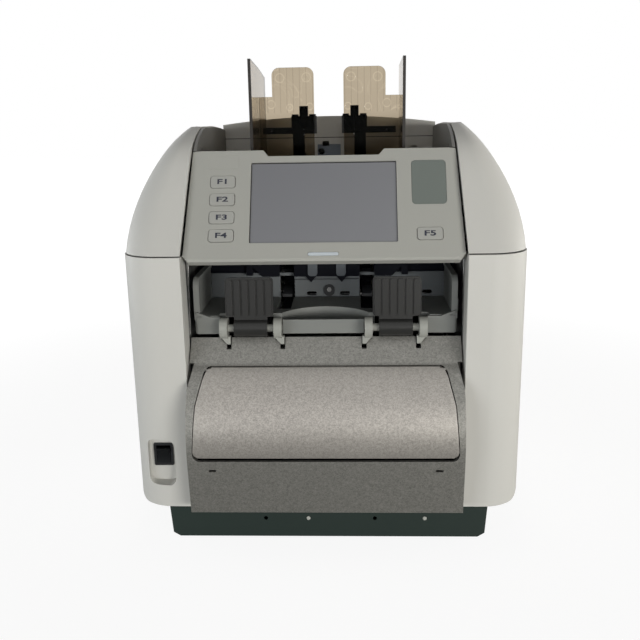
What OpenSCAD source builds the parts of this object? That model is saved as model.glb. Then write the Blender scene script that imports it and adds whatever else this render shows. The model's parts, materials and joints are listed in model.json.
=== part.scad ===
// Desktop banknote counter, lower unit with stacker and reject pocket,
// upper unit with hopper and control panel. Millimetres, front to -Y, Z up.

/* [Body] */
// Overall width over the side covers
body_w = 306; // [290:1:320]
// Wall thickness of the moulded covers
wall = 3; // [2.5:0.1:3.5]
// Front face of the side covers, measured from the centre
cover_front = 143; // [140:1:146]
// Rear face of the body, measured from the centre
body_rear = 150; // [148:1:152]
// Height of the seam between lower and upper unit
seam_z = 235; // [233:1:237]
// Underside of the lower side covers
cover_bottom = 34; // [33:1:36]
// Rounding of the front cover corners in plan
corner_front = 30; // [26:1:32]
// Rounding of the rear cover corners in plan
corner_rear = 22; // [18:1:26]
// Rounding along the lower edge of the covers
edge_round = 9; // [7:1:10]
// Half width between the side covers at the seam
bay_half = 105.5; // [105:0.1:106]
// Gap between neighbouring covers
seam_gap = 1; // [0.8:0.1:1.2]
// Height of the rubber feet
foot_h = 2.4; // [2:0.1:4]

/* [Upper unit] */
// Height of the flat top of the upper covers
top_z = 326; // [322:1:330]
// Half width of the upper covers at the top
top_half = 112; // [110:0.5:113]
// Lean of the inner cover edge over its height
edge_lean = 5; // [4:0.5:6]
// Lean of the control panel from the vertical
panel_tilt = 30; // [29:0.5:31]
// Length of the control panel along its slope
panel_h = 87; // [86:0.5:88]
// Viewing window width
window_w = 110; // [106:1:112]
// Viewing window height
window_h = 65.5; // [64:0.5:66]
// Key width
key_w = 18.6; // [17:0.1:19]
// Key height
key_h = 9.6; // [9:0.1:10]
// Distance between two keys
key_pitch = 14.5; // [14:0.1:15]
// Travel of a key
key_travel = 0.8; // [0.6:0.1:1]
// Gap round a key
key_gap = 0.4; // [0.35:0.05:0.5]

/* [Hopper] */
// Distance of a note guide from the centre
guide_half = 61.6; // [58:0.5:62]
// Thickness of a note guide
guide_t = 2.4; // [2:0.1:2.6]
// Top of the note guides
guide_top = 378; // [372:1:384]
// Middle of the pair of guides, across the machine
guide_mid = 2; // [0:0.1:3]
// Inner edge of the guide tongues
tongue_in = 12.8; // [11:0.5:14]
// Front face of the hopper back
hopper_back_y = 58; // [57:0.5:60]
// Upper face of the hopper floor
hopper_floor_z = 282; // [281:0.5:283]
// Upper face of the shelf that carries the guides
shelf_z = 295; // [294.5:0.5:295.5]
// Tooth size of rack and pinion
rack_module = 1; // [1:0.05:1.05]
// Teeth of the pinion
pinion_teeth = 16; // [16:2:16]
// Play between rack and pinion teeth
tooth_play = 0.35; // [0.3:0.05:0.4]

/* [Stacker and reject pocket] */
// Hinge line of the stop paddles, forward of the centre
paddle_y = 124; // [123:0.5:124.5]
// Hinge line of the stop paddles, height
paddle_z = 175.5; // [175:0.5:176]
// Distance of a paddle from the centre
paddle_x = 55.6; // [54.5:0.1:56.5]
// Middle of the pair of paddles, across the machine
paddle_mid = -1.4; // [-2:0.1:0]
// Paddle width
paddle_w = 37; // [34:0.5:38]
// Radius of the stacker wheels
wheel_r = 36; // [33:0.5:36.5]
// Vanes of a stacker wheel
vanes = 10; // [8:1:12]
// Distance of a stacker wheel from the centre
wheel_x = 33.5; // [32:0.5:35]
// Radius of the curved reject door
door_r = 70; // [69:0.5:71]
// Thickness of the reject door
door_t = 2.6; // [2.2:0.1:2.8]
// Gap round the reject door
door_gap = 0.8; // [0.7:0.1:1]

/* [Drive] */
// Shaft radius
shaft_r = 4; // [3.5:0.1:4.5]
// Radial clearance of a running shaft
run_gap = 0.08; // [0.05:0.01:0.1]
// Radius of the transport rollers
roller_r = 18; // [16:0.5:18.5]
// Belt thickness
belt_t = 1.5; // [1.2:0.1:1.8]
// Belt width
belt_w = 5; // [4:0.5:5.5]
// Gap between a belt and the pulley under it
belt_gap = 0.35; // [0.3:0.05:0.4]

/* [Hidden] */
$fn = 64;
half_w = body_w / 2;
hood_half = half_w - seam_gap;
lower_top = seam_z - seam_gap;
cover_fit = 0.3;
frame_x = bay_half + 2.5;
frame_t = 2;
rib_x = frame_x - frame_t / 2 - cover_fit;
pan_top = cover_bottom + 3.6;
sheet = 1.6;
pan_floor = foot_h + sheet;
panel_y = -140;
panel_z = 233;
hinge_r = 5.5;
hinge_y = 161;
hinge_z = seam_z;
door_cy = -166.5 + door_r;
door_cz = 93;
pinion_r = rack_module * pinion_teeth / 2;
pinion_y = 37;
guide_foot = 284;
guide_h = guide_top - guide_foot;
wheel_cy = -26;
wheel_cz = 180;
roller_a = [40, 204];
roller_b = [95, 150];
motor_at = [80, 72];
feed_at = [36, 261];
pick_at = [-30, 265.5];
switch_x = -130;
switch_z = 74;

// Profile drawn in (Y, Z), extruded along X between two stations.
module along_x(x0, x1) {
    translate([x0, 0, 0])
        rotate([90, 0, 90])
            linear_extrude(x1 - x0)
                children();
}

// Profile drawn in (X, Z), extruded along Y between two stations.
module along_y(y0, y1) {
    translate([0, y1, 0])
        rotate([90, 0, 0])
            linear_extrude(y1 - y0)
                children();
}

module box(lo, hi) {
    translate(lo)
        cube(hi - lo);
}

module rod_x(x0, x1, y, z, r) {
    translate([x0, y, z])
        rotate([0, 90, 0])
            cylinder(h = x1 - x0, r = r);
}

module rod_y(y0, y1, x, z, r) {
    translate([x, y0, z])
        rotate([-90, 0, 0])
            cylinder(h = y1 - y0, r = r);
}

// Rounded rectangle from corner (x0, y0) to corner (x1, y1), built from true arcs.
module rounded(x0, y0, x1, y1, r) {
    translate([x0 + r, y0])
        square([x1 - x0 - 2 * r, y1 - y0]);
    translate([x0, y0 + r])
        square([x1 - x0, y1 - y0 - 2 * r]);
    for (x = [x0 + r, x1 - r], y = [y0 + r, y1 - r])
        translate([x, y])
            circle(r);
}

// Folded pan with drafted sides; closed floor, open above.
module pan_section(inset, top) {
    polygon([[-128.3 + inset, top], [-126 + inset, foot_h + 3.4], [-120.5 + inset, foot_h + inset],
             [120.5 - inset, foot_h + inset], [126 - inset, foot_h + 3.4], [128.3 - inset, top]]);
}

module base_pan() {
    color("#33413c")
        difference() {
            along_y(-133, 145)
                pan_section(0, pan_top);
            along_y(-133 + sheet, 145 - sheet)
                pan_section(sheet, pan_top + 1);
            for (x = [-50, -15.5, 38, 78])
                rod_y(-135, -129, x, 18.5, 1.7);
            for (x = [-100, 100], y = [-95, 105])
                translate([x, y, 0])
                    cylinder(h = 14, r = 3.1);
        }
}

module rubber_feet() {
    color("#202020")
        for (x = [-100, 100], y = [-95, 105])
            translate([x, y, 0]) {
                cylinder(h = foot_h, r = 11);
                cylinder(h = 12, r = 3);
            }
}

// Plan of one side cover, drawn for the right side.
module side_plan(inset) {
    w = half_w - inset;
    f = inset - cover_front;
    b = body_rear - inset;
    rf = corner_front - inset;
    rb = corner_rear - inset;
    translate([0, f])
        square([w - rf, b - f]);
    translate([w - rf, f + rf])
        square([rf, b - rb - f - rf]);
    translate([w - rf, b - rb])
        square([rf - rb, rb]);
    translate([w - rf, f + rf])
        circle(rf);
    translate([w - rb, b - rb])
        circle(rb);
}

module side_section(inset, top) {
    r = edge_round - inset;
    w = half_w - inset;
    translate([0, cover_bottom + inset])
        square([w - r, top - cover_bottom - inset]);
    translate([0, cover_bottom + inset + r])
        square([w, top - cover_bottom - inset - r]);
    translate([w - r, cover_bottom + inset + r])
        circle(r);
}

module side_solid(inset, top) {
    intersection() {
        linear_extrude(top)
            side_plan(inset);
        along_y(-200, 200)
            side_section(inset, top);
    }
}

module lower_cover_right() {
    color("#d3d1ca")
        difference() {
            union() {
                difference() {
                    side_solid(0, lower_top);
                    side_solid(wall, lower_top + 1);
                }
                box([bay_half, 4 - cover_front, cover_bottom + wall], [rib_x, -124, lower_top]);
                box([bay_half, 132, cover_bottom + wall], [rib_x, body_rear - 2, lower_top]);
            }
            box([-1, -200, 0], [bay_half, 200, 300]);
            box([0, 9 - cover_front, 0], [136, body_rear - 4.5, cover_bottom + wall + 1]);
        }
}

module switch_pocket(grow, y0, y1) {
    along_y(y0, y1)
        rounded(-141 - grow, 52 - grow, -118.5 + grow, 90 + grow, 6 + grow);
}

module lower_cover_left() {
    floor_y = 12 - cover_front;
    color("#d3d1ca")
        difference() {
            union() {
                mirror([1, 0, 0])
                    lower_cover_right();
                intersection() {
                    mirror([1, 0, 0])
                        side_solid(0.5, lower_top);
                    switch_pocket(2.4, 1 - cover_front, floor_y + 2.4);
                }
            }
            switch_pocket(0, -160, floor_y);
            box([switch_x - 6.9, -140, switch_z - 8.7], [switch_x + 6.9, -120, switch_z + 8.7]);
        }
}

module switch_frame() {
    floor_y = 12 - cover_front;
    color("#17181a")
        difference() {
            union() {
                along_y(floor_y - 1.4, floor_y)
                    rounded(switch_x - 7.7, switch_z - 9.5, switch_x + 7.7, switch_z + 9.5, 1);
                box([switch_x - 6.7, floor_y, switch_z - 8.5], [switch_x + 6.7, floor_y + 17, switch_z + 8.5]);
                for (z = [-4, 4])
                    box([switch_x - 3, floor_y + 17, switch_z + z - 0.5],
                        [switch_x + 3, floor_y + 25, switch_z + z + 0.5]);
            }
            box([switch_x - 5.7, floor_y - 3, switch_z - 7.5], [switch_x + 5.7, floor_y + 15, switch_z + 7.5]);
        }
    color("#17181a")
        rod_x(switch_x - 5.7, switch_x + 5.7, floor_y + 3, switch_z, 1.5);
}

module switch_rocker() {
    floor_y = 12 - cover_front;
    color("#101113")
        translate([0, floor_y + 3, switch_z])
            rotate([8, 0, 0])
                difference() {
                    along_x(switch_x - 5.3, switch_x + 5.3)
                        polygon([[-5.9, 6.4], [-4.3, 0], [-5.9, -6.4], [-2.4, -6.4], [4.5, -2.2],
                                 [4.5, 2.2], [-2.4, 6.4]]);
                    rod_x(switch_x - 8, switch_x + 8, 0, 0, 1.5 + run_gap);
                }
}

module rear_cover() {
    color("#d3d1ca")
        difference() {
            union() {
                along_y(body_rear - wall, body_rear)
                    square_xz(-bay_half + cover_fit, 37, bay_half - cover_fit, lower_top - 2);
                for (x = [-95, 92])
                    box([x, body_rear - 13, 60], [x + 3, body_rear - wall, 212]);
                box([-95, body_rear - 13, 146], [95, body_rear - 11.5, 212]);
            }
            along_y(140, 160) {
                intersection() {
                    translate([55, 112])
                        circle(26);
                    for (z = [86 : 7 : 138])
                        square_xz(20, z, 90, z + 3.6);
                }
                for (z = [150 : 9 : 204])
                    rounded(-70, z, 70, z + 4, 1.9);
                square_xz(-88.8, 52, -61.2, 72.4);
                square_xz(-40.3, 52, 20.3, 70.3);
            }
        }
}

module square_xz(x0, z0, x1, z1) {
    translate([x0, z0])
        square([x1 - x0, z1 - z0]);
}

// Three-pin appliance inlet: flange outside, recessed shroud with three blades.
module power_inlet() {
    color("#17181a")
        difference() {
            union() {
                along_y(body_rear, body_rear + 2.2)
                    rounded(-92, 49.5, -58, 75, 2.5);
                box([-88.5, body_rear - 24, 52.3], [-61.5, body_rear + 1, 72.1]);
            }
            box([-87, body_rear - 17, 54.2], [-63, body_rear + 5, 70.2]);
        }
    color("#b0a070")
        for (p = [[-82, 60.5], [-75, 64], [-68, 60.5]])
            box([p[0] - 1, body_rear - 17.5, p[1] - 2], [p[0] + 1, body_rear - 3, p[1] + 2]);
}

module data_ports() {
    color("#8a8c8a")
        difference() {
            box([-40, body_rear - 16, 52.3], [20, body_rear - 0.4, 70]);
            box([-37, body_rear - 14, 54.6], [-23, body_rear + 1, 66.4]);
            box([-17, body_rear - 14, 56], [-4, body_rear + 1, 61]);
            box([1, body_rear - 14, 54.6], [17, body_rear + 1, 67.4]);
        }
}

// Plate frame of the lower unit with bearing bores for the shafts.
module frame_outline() {
    polygon([[-112, pan_floor], [-112, 160], [-104, 228], [118, 228], [138, 205], [138, pan_floor]]);
}

module bearing_bores(x0, x1) {
    for (p = [[wheel_cy, wheel_cz], roller_a, roller_b])
        rod_x(x0, x1, p[0], p[1], shaft_r + run_gap);
}

module side_frame_left() {
    color("#9a9da0")
        difference() {
            along_x(-frame_x - frame_t / 2, -frame_x + frame_t / 2)
                frame_outline();
            bearing_bores(-120, -100);
            along_x(-120, -100)
                rounded(-20, 90, 60, 150, 12);
        }
}

module side_frame_right() {
    color("#9a9da0")
        difference() {
            along_x(frame_x - frame_t / 2, frame_x + frame_t / 2)
                frame_outline();
            bearing_bores(100, 120);
            rod_x(100, 120, motor_at[0], motor_at[1], 8);
            along_x(100, 120)
                rounded(-60, 60, 30, 140, 12);
        }
}

module tie_bars() {
    color("#b8babc")
        for (p = [[-66, 158], [124, 214], [122, 30]])
            rod_x(-frame_x + frame_t / 2, frame_x - frame_t / 2, p[0], p[1], 4);
}

door_ang = asin((146 - door_cz) / (door_r - 2.6));
door_ay = door_cy - (door_r - 2.6) * cos(door_ang);
door_az = 146;

// Front view of the reject door, with slanted upper sides and rounded corners.
module door_outline(grow, bottom) {
    rc = 5 + grow;
    polygon([[-94.5, bottom], [94.5, bottom], [94.5 + rc, bottom + rc], [97 + grow, 124],
             [87.1 + rc * 0.9701, 143 + rc * 0.2425], [87.1, 143 + rc], [-87.1, 143 + rc],
             [-87.1 - rc * 0.9701, 143 + rc * 0.2425], [-97 - grow, 124], [-94.5 - rc, bottom + rc]]);
    for (x = [-94.5, 94.5])
        translate([x, bottom + rc])
            circle(rc);
    for (x = [-87.1, 87.1])
        translate([x, 143])
            circle(rc);
}

// Curved sheet about the door centre, between two radii, in (Y, Z).
module door_arc(r_out, r_in, z0, z1) {
    intersection() {
        translate([door_cy, door_cz])
            difference() {
                circle(r_out);
                circle(r_in);
            }
        translate([-200, z0])
            square([200 + door_cy, z1 - z0]);
    }
}

crease_z = 150.5;
face_r = door_r - 1;
face_y = door_cy - face_r;
crease_y = door_cy - sqrt(face_r * face_r - (crease_z - door_cz) * (crease_z - door_cz));

// Side view of the front cover, filled back to its rear edge.
module front_profile(inset, rear, drop) {
    step = 0.02;
    intersection() {
        translate([door_cy, door_cz])
            circle(face_r - inset);
        translate([-200, door_cz - 1])
            square([200 + rear, crease_z - door_cz + 1 - 0.6 * inset]);
    }
    polygon([[crease_y + 0.8 * inset, crease_z - 0.6 * inset], [-122 + 0.8 * inset, 167.5 - 0.6 * inset],
             [rear, 164 + drop], [rear, crease_z - 6], [crease_y + 6, crease_z - 6]]);
    polygon([[face_y + inset - step, door_cz + 0.5], [face_y + inset - step, 82],
             [face_y + inset + 5, 38 - drop], [rear, 38 - drop], [rear, door_cz + 0.5]]);
}

module front_cover() {
    side = bay_half - 1.2;
    color("#8d8983")
        difference() {
            union() {
                difference() {
                    along_x(-side, side)
                        front_profile(0, -118, 0);
                    along_x(-side + wall, side - wall)
                        front_profile(wall, -110, 8);
                }
                for (s = [-1, 1])
                    along_x(s * 97 - 2.5, s * 97 + 2.5)
                        intersection() {
                            translate([door_cy, door_cz])
                                circle(face_r - 0.5);
                            translate([door_ay - 6, door_az - 6])
                                square([12, 12]);
                        }
            }
            along_y(-200, -124)
                door_outline(door_gap, 82.4);
            for (s = [-1, 1])
                along_y(-200, -124)
                    polygon([[s * (side + 1), crease_z - 20], [s * (side - wall - 0.8), crease_z],
                             [s * (side + 1), crease_z]]);
            for (s = [-1, 1], side = [-1, 1]) {
                box([hook_x(s, side) - 1.9, -140, 159.4], [hook_x(s, side) + 1.9, -100, 175]);
                rod_x(lug_x(s, side) - 3.5, lug_x(s, side) + 3.5, -paddle_y, paddle_z, lug_r + cover_fit);
            }
            for (x = [-85.5, 85.5])
                along_y(-180, -158)
                    rounded(x - 3, 73.6, x + 3, 75.4, 0.85);
        }
    color("#8d8983")
        for (s = [-1, 1])
            rod_x(s > 0 ? 78 : -96, s > 0 ? 96 : -78, door_ay, door_az, 1.3);
}

module reject_door() {
    color("#8d8983")
        difference() {
            union() {
                intersection() {
                    along_x(-110, 110)
                        door_arc(door_r, door_r - door_t, 85, 147.6);
                    along_y(-200, -120)
                        door_outline(0, 85.4);
                }
                rod_x(-87, 87, door_ay, door_az, 2.55);
                for (x = [-60, 0, 60])
                    along_x(x - 1, x + 1)
                        door_arc(door_r - 1, door_r - 6, 88, 138);
            }
            rod_x(-110, 110, door_ay, door_az, 1.3 + run_gap);
        }
}

// Open-fronted bin behind the door.
module reject_bin() {
    side = [[-156, 72], [-156, 100], [-149, 121], [-138, 137], [-80, 137], [-80, 72]];
    color("#2b2d2f") {
        along_x(-98, -96)
            polygon(side);
        along_x(96, 98)
            polygon(side);
        box([-96, -156, 72], [96, -80, 74]);
        difference() {
            box([-96, -82, 74], [96, -80, 137]);
            box([-90, -90, 116], [90, -70, 126]);
        }
        for (x = [-107, 98])
            box([x, -106, 90], [x + 9, -92, 100]);
    }
}

tray_front = -119;
tray_rear = -59;

function wing_x(s) = lug_x(s, s) + s * 3.6;

// Side wall of the tray with a rounded front corner, from z = low.
module tray_side(inset, low) {
    intersection() {
        rounded(tray_front + inset, 150, -30, 213 - inset, 7 - inset);
        translate([tray_front - 5, low])
            square([tray_rear - tray_front + 5, 60]);
    }
}

// Note tray: level floor, side walls, finger scoop closed by a front bar.
module stacker_tray() {
    scoop_r = 38.9;
    scoop_y = -92 - scoop_r;
    color("#6d706e") {
        difference() {
            along_x(-98, 98)
                polygon([[tray_front, 184], [tray_rear, 185], [tray_rear, 182], [tray_front, 181]]);
            translate([0, scoop_y, 160])
                cylinder(h = 40, r = scoop_r);
            for (s = [-1, 1]) {
                box([lug_x(s, -1) - 5.2, -125, 160], [lug_x(s, 1) + 5.2, -112, 200]);
                box([s * wheel_x - 5.5, -99, 160], [s * wheel_x + 5.5, -50, 200]);
            }
        }
        for (s = [-1, 1]) {
            along_x(s * 99.5 - 1.5, s * 99.5 + 1.5)
                tray_side(0, 170);
            box([min(s * 99.5, wing_x(s)), tray_front - 2, 170],
                [max(s * 99.5, wing_x(s)), tray_front + 1, 183.5]);
            box([s * 104 - 3, -84, 178], [s * 104 + 3, -66, 188]);
            along_x(s * 99.2 - 2.2, s * 99.2 + 2.2)
                difference() {
                    tray_side(-1, 181);
                    tray_side(1.6, 180);
                }
            along_y(tray_front - 3, tray_front + 1)
                polygon([[wing_x(s), 181.5], [s * 89, 181.5], [s * 99.5, 185.6], [s * 99.5, 187.6],
                         [s * 89, 183.5], [wing_x(s), 183.5]]);
        }
        intersection() {
            translate([0, scoop_y, 170])
                difference() {
                    cylinder(h = 13.2, r = scoop_r + 4);
                    translate([0, 0, -1])
                        cylinder(h = 15, r = scoop_r);
                }
            box([-60, -112, 160], [60, -60, 200]);
        }
        intersection() {
            translate([0, scoop_y, 170])
                cylinder(h = 2.4, r = scoop_r + 1);
            box([-28.7, tray_front, 160], [28.7, -60, 200]);
        }
        box([lug_x(-1, 1) + 3.6, tray_front - 2, 170], [lug_x(1, -1) - 3.6, tray_front + 1, 181]);
    }
}

module stacker_back() {
    color("#3c3f42")
        difference() {
            union() {
                along_y(-57, -54)
                    square_xz(-98, 170, 98, 205.5);
                along_y(-60, -57)
                    square_xz(-27, 186, 27, 200);
                along_y(-61.4, -59)
                    rounded(-2.8, 186, 6.4, 196, 4.5);
                rod_y(-62.2, -61, 1.8, 191.8, 1.9);
                for (s = [-1, 1])
                    box([s * 102 - 5, -57, 176], [s * 102 + 5, -50, 196]);
            }
            for (x = [-wheel_x, wheel_x])
                along_y(-70, -40)
                    square_xz(x - 6, 165, x + 6, 203);
            for (x = [-13, 15, 84])
                along_y(-70, -40)
                    rounded(x - 4.2, 186.4, x + 4.2, 190, 1.7);
        }
}

// Dark cross beam over the stacker with two pressing tabs.
module stacker_beam() {
    color("#101214")
        difference() {
            union() {
                box([-107, -58, 206], [107, -44, 228]);
                along_y(-62, -58)
                    polygon([[-74, 226], [-74, 213], [-67.5, 213], [-67.5, 204], [-62, 204], [-62, 211],
                             [-54, 203], [54, 203], [62, 211], [62, 204], [67.5, 204], [67.5, 213],
                             [74, 213], [74, 226]]);
                for (x = [-13.2, 12.4])
                    along_y(-62, -60.4)
                        polygon([[x - 5, 204], [x, 198], [x + 5, 204]]);
                for (x = [-11.8, 11.9])
                    along_y(-64, -60)
                        rounded(x - 4, 203.6, x + 4, 220, 2.6);
            }
            for (x = [-wheel_x, wheel_x])
                box([x - 6, -70, 200], [x + 6, -40, 219]);
        }
}

lug_at = 20.8;
lug_r = 8.2;
axle_r = 3;
function lug_x(s, side) = paddle_mid + s * paddle_x + side * lug_at;
function hook_x(s, side) = lug_x(s, side) - s * 3.4;

// Pale bearing lugs with hooked feet that snap into the front cover.
module hinge_lugs() {
    color("#b4b3aa")
        for (s = [-1, 1], side = [-1, 1]) {
            x = lug_x(s, side);
            foot = hook_x(s, side);
            difference() {
                union() {
                    rod_x(x - 3, x + 3, -paddle_y, paddle_z, lug_r);
                    box([x - 3, -paddle_y, paddle_z - 4], [x + 3, tray_front - 2, paddle_z + 4]);
                    along_y(-paddle_y - 3.4, -paddle_y + 0.6)
                        polygon([[foot - 1.3, 163.2], [foot + 1.3, 163.2],
                                 [max(x + 3, foot + 1.4), paddle_z - 6],
                                 [min(x - 3, foot - 1.4), paddle_z - 6]]);
                }
                rod_x(x - 4, x + 4, -paddle_y, paddle_z, axle_r);
            }
        }
}

module paddle_axles() {
    color("#b4b3aa")
        for (s = [-1, 1])
            rod_x(lug_x(s, -1) - 2.5, lug_x(s, 1) + 2.5, -paddle_y, paddle_z, axle_r);
}

// Ribbed stop paddle that folds forward.
module stop_paddle(s) {
    translate([lug_x(s, 0), -paddle_y, paddle_z])
        rotate([-5, 0, 0])
            difference() {
                union() {
                    rod_x(-12.8, 12.8, 0, 0, 6.6);
                    along_y(-1.3, 1.3) {
                        rounded(s - paddle_w / 2, lug_r + 0.6, s + paddle_w / 2, 39, 3);
                        square_xz(-12.8, 0, 12.8, lug_r + 4);
                    }
                    for (i = [-2.5 : 1 : 2.5])
                        along_y(-2.6, -1)
                            rounded(s + i * 6 - 2.2, lug_r + 1.2, s + i * 6 + 2.2, 37.5, 1.5);
                }
                rod_x(-20, 20, 0, 0, axle_r + run_gap);
            }
}

module paddle_left() {
    color("#3e3f3c")
        stop_paddle(-1);
}

module paddle_right() {
    color("#3e3f3c")
        stop_paddle(1);
}

pulley_x = [113.5, 120.5, 127.5];
pulley_w = 5.6;

module pulley(x, at, r) {
    rod_x(x - pulley_w / 2, x + pulley_w / 2, at[0], at[1], r);
}

module stacker_shaft() {
    at = [wheel_cy, wheel_cz];
    color("#b8babc") {
        rod_x(-112, 131, at[0], at[1], shaft_r);
        pulley(pulley_x[2], at, 24);
    }
}

// Soft wheel with curved vanes that sweep the notes down.
module stacker_wheels() {
    vane_t = 1.6;
    arc_r = 22;
    color("#17181a")
        for (x = [-wheel_x, wheel_x])
            translate([x - 4, wheel_cy, wheel_cz])
                rotate([90, 0, 90])
                    linear_extrude(8)
                        difference() {
                            union() {
                                circle(13);
                                intersection() {
                                    circle(wheel_r);
                                    for (i = [0 : vanes - 1])
                                        rotate(i * 360 / vanes)
                                            difference() {
                                                translate([12, arc_r - 2])
                                                    circle(arc_r);
                                                translate([12, arc_r - 2])
                                                    circle(arc_r - vane_t);
                                                translate([-60, -60])
                                                    square([72, 120]);
                                                translate([-60, arc_r - 2])
                                                    square([120, 60]);
                                            }
                                }
                            }
                            circle(shaft_r);
                        }
}

module transport_roller(at, r_mid, r_out) {
    rod_x(-112, 131, at[0], at[1], shaft_r);
    for (x = [-70, -30, 30, 70])
        rod_x(x - 10, x + 10, at[0], at[1], roller_r);
    pulley(pulley_x[1], at, r_mid);
    if (r_out > 0)
        pulley(pulley_x[2], at, r_out);
}

module transport_roller_a() {
    color("#303234")
        transport_roller(roller_a, 16, 12);
}

module transport_roller_b() {
    color("#303234") {
        transport_roller(roller_b, 16, 0);
        pulley(pulley_x[0], roller_b, 20);
    }
}

module drive_motor() {
    inner = frame_x - frame_t / 2;
    color("#4a4d50")
        difference() {
            union() {
                rod_x(34, inner, motor_at[0], motor_at[1], 23);
                rod_x(28, 34, motor_at[0], motor_at[1], 8);
                rod_x(inner - 3, inner, motor_at[0], motor_at[1], 27);
            }
            rod_x(80, 120, motor_at[0], motor_at[1], shaft_r + run_gap);
        }
}

module motor_pulley() {
    color("#b8babc") {
        rod_x(82, pulley_x[0] + 3, motor_at[0], motor_at[1], shaft_r);
        pulley(pulley_x[0], motor_at, 10);
    }
}

// Points along an arc of a belt, from angle a to angle b.
function arc_points(c, r, a, b) =
    [for (i = [0:24]) let (t = a + (b - a) * i / 24) c + r * [cos(t), sin(t)]];

// Outline of a belt face at a height over both pulleys.
module belt_loop(p, rp, q, rq, rise) {
    base = atan2(q[1] - p[1], q[0] - p[0]);
    lean = acos((rp - rq) / norm(q - p));
    polygon(concat(arc_points(p, rp + rise, base + lean, base + 360 - lean),
                   arc_points(q, rq + rise, base - lean, base + lean)));
}

module belt(x, p, rp, q, rq) {
    color("#202020")
        along_x(x - belt_w / 2, x + belt_w / 2)
            difference() {
                belt_loop(p, rp, q, rq, belt_gap + belt_t);
                belt_loop(p, rp, q, rq, belt_gap);
            }
}

module drive_belt() {
    belt(pulley_x[0], motor_at, 10, roller_b, 20);
}

module transport_belt() {
    belt(pulley_x[1], roller_b, 16, roller_a, 16);
}

module stacker_belt() {
    belt(pulley_x[2], roller_a, 12, [wheel_cy, wheel_cz], 24);
}

module main_board() {
    color("#1f5a3a") {
        box([-117.6, -55, 60], [-116, 115, 190]);
        for (y = [-50, 110], z = [66, 184])
            rod_x(-116, -frame_x - frame_t / 2, y, z, 3);
        for (p = [[-20, 150, 16], [30, 120, 12], [70, 150, 9]])
            box([-120, p[0] - p[2], p[1] - p[2]], [-117.6, p[0] + p[2], p[1] + p[2]]);
        for (y = [-30 : 24 : 90])
            box([-126, y, 66], [-117.6, y + 16, 74]);
    }
}

module power_supply() {
    color("#a8aaac")
        difference() {
            box([-84, -66, pan_floor], [46, 36, 58]);
            box([-82, -64, pan_floor + 2.4], [44, 34, 56]);
            for (x = [-74 : 10 : 36])
                box([x, -50, 50], [x + 5, 20, 60]);
        }
}

module fan_frame() {
    color("#17181a")
        difference() {
            box([25, 133, 82], [85, body_rear - wall, 142]);
            rod_y(120, 160, 55, 112, 27);
        }
    color("#17181a") {
        rod_y(133, 136, 55, 112, 10);
        for (a = [45, 135])
            translate([55, 133, 112])
                rotate([0, a, 0])
                    box([-27.6, 0, -1.2], [27.6, 1.6, 1.2]);
    }
}

module fan_rotor() {
    color("#202225")
        translate([55, 136.4, 112])
            rotate([-90, 0, 0]) {
                cylinder(h = 9, r = 10);
                for (i = [0 : 6])
                    rotate(i * 360 / 7)
                        translate([9, -1, 0.6])
                            rotate([28, 0, 0])
                                cube([16.5, 1.2, 7.5]);
            }
}

// Knuckles are drawn for a hinge at X = 0; up is 1 for the upper leaf.
module hinge_leaf(up, stations) {
    translate([0, hinge_y, hinge_z])
        mirror([0, 0, up > 0 ? 0 : 1])
            difference() {
                union() {
                    box([-20, body_rear - hinge_y, 4], [20, body_rear + 2 - hinge_y, 27]);
                    for (s = stations)
                        along_x(s[0], s[1]) {
                            circle(hinge_r);
                            polygon([[body_rear - hinge_y, 4], [body_rear - hinge_y, 13], [0, 5], [-4, 0]]);
                        }
                }
                rod_x(-30, 30, 0, 0, 2.5 + (up > 0 ? run_gap : 0));
            }
}

module lower_hinge() {
    color("#6b6e6b")
        for (x = [-60, 60])
            translate([x, 0, 0])
                hinge_leaf(-1, [[-6, 6]]);
}

module upper_hinge() {
    color("#6b6e6b")
        for (x = [-60, 60])
            translate([x, 0, 0])
                hinge_leaf(1, [[-18, -6.5], [6.5, 18]]);
}

module hinge_pins() {
    color("#b8babc")
        for (x = [-60, 60])
            rod_x(x - 19, x + 19, hinge_y, hinge_z, 2.5);
}

// Upper cover: one moulded skin from the seam over the shoulder to the flat top.
// Each level is a line from the front inner edge round the side to the rear one.
rows = 16;
function lift(j) = sin(90 * j / rows);
function shoulder(t, inset) = top_half + (hood_half - top_half) * (1 - t * t) - inset;
function sag(y) = y > -20 ? 10.7 * pow((y + 20) / 120, 2) : 0;
function settle(p, t) = [p[0], p[1], p[2] - t * sag(p[1])];
function inner_edge(t) = bay_half - edge_lean * t;
function hood_front(t, inset) =
    inset - cover_front + (top_z - seam_z) * tan(panel_tilt) * t + 33 * pow(t, 12);
function hood_rear(t, inset) = body_rear - inset - 22 * pow(t, 6);
function bend(t, r, inset) =
    (r - inset) * (shoulder(t, inset) - inner_edge(t)) / (hood_half - inset - bay_half);
function level(t, inset) =
    let (w = shoulder(t, inset), e = inner_edge(t), f = hood_front(t, inset), b = hood_rear(t, inset),
         rf = bend(t, corner_front, inset), rr = bend(t, corner_rear, inset),
         df = corner_front - inset, dr = corner_rear - inset,
         z = seam_z + (top_z - inset - seam_z) * t)
    [for (p = concat([for (k = [0 : 2]) [e + (w - rf - e) * k / 3, f, z]],
                     [for (a = [0 : 7.5 : 90]) [w - rf + rf * sin(a), f + df - df * cos(a), z]],
                     [for (k = [1 : 7]) [w, f + df + (b - dr - f - df) * k / 8, z]],
                     [for (a = [0 : 11.25 : 90]) [w - rr + rr * cos(a), b - dr + dr * sin(a), z]],
                     [for (k = [1 : 3]) [w - rr + (e - w + rr) * k / 3, b, z]]))
        settle(p, t)];
function ridge(inset) =
    let (n = len(level(1, inset)) - 1, f = hood_front(1, inset), b = hood_rear(1, inset))
    [for (i = [0 : n]) settle([inner_edge(1), f + (b - f) * i / n, top_z - inset], 1)];
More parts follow.
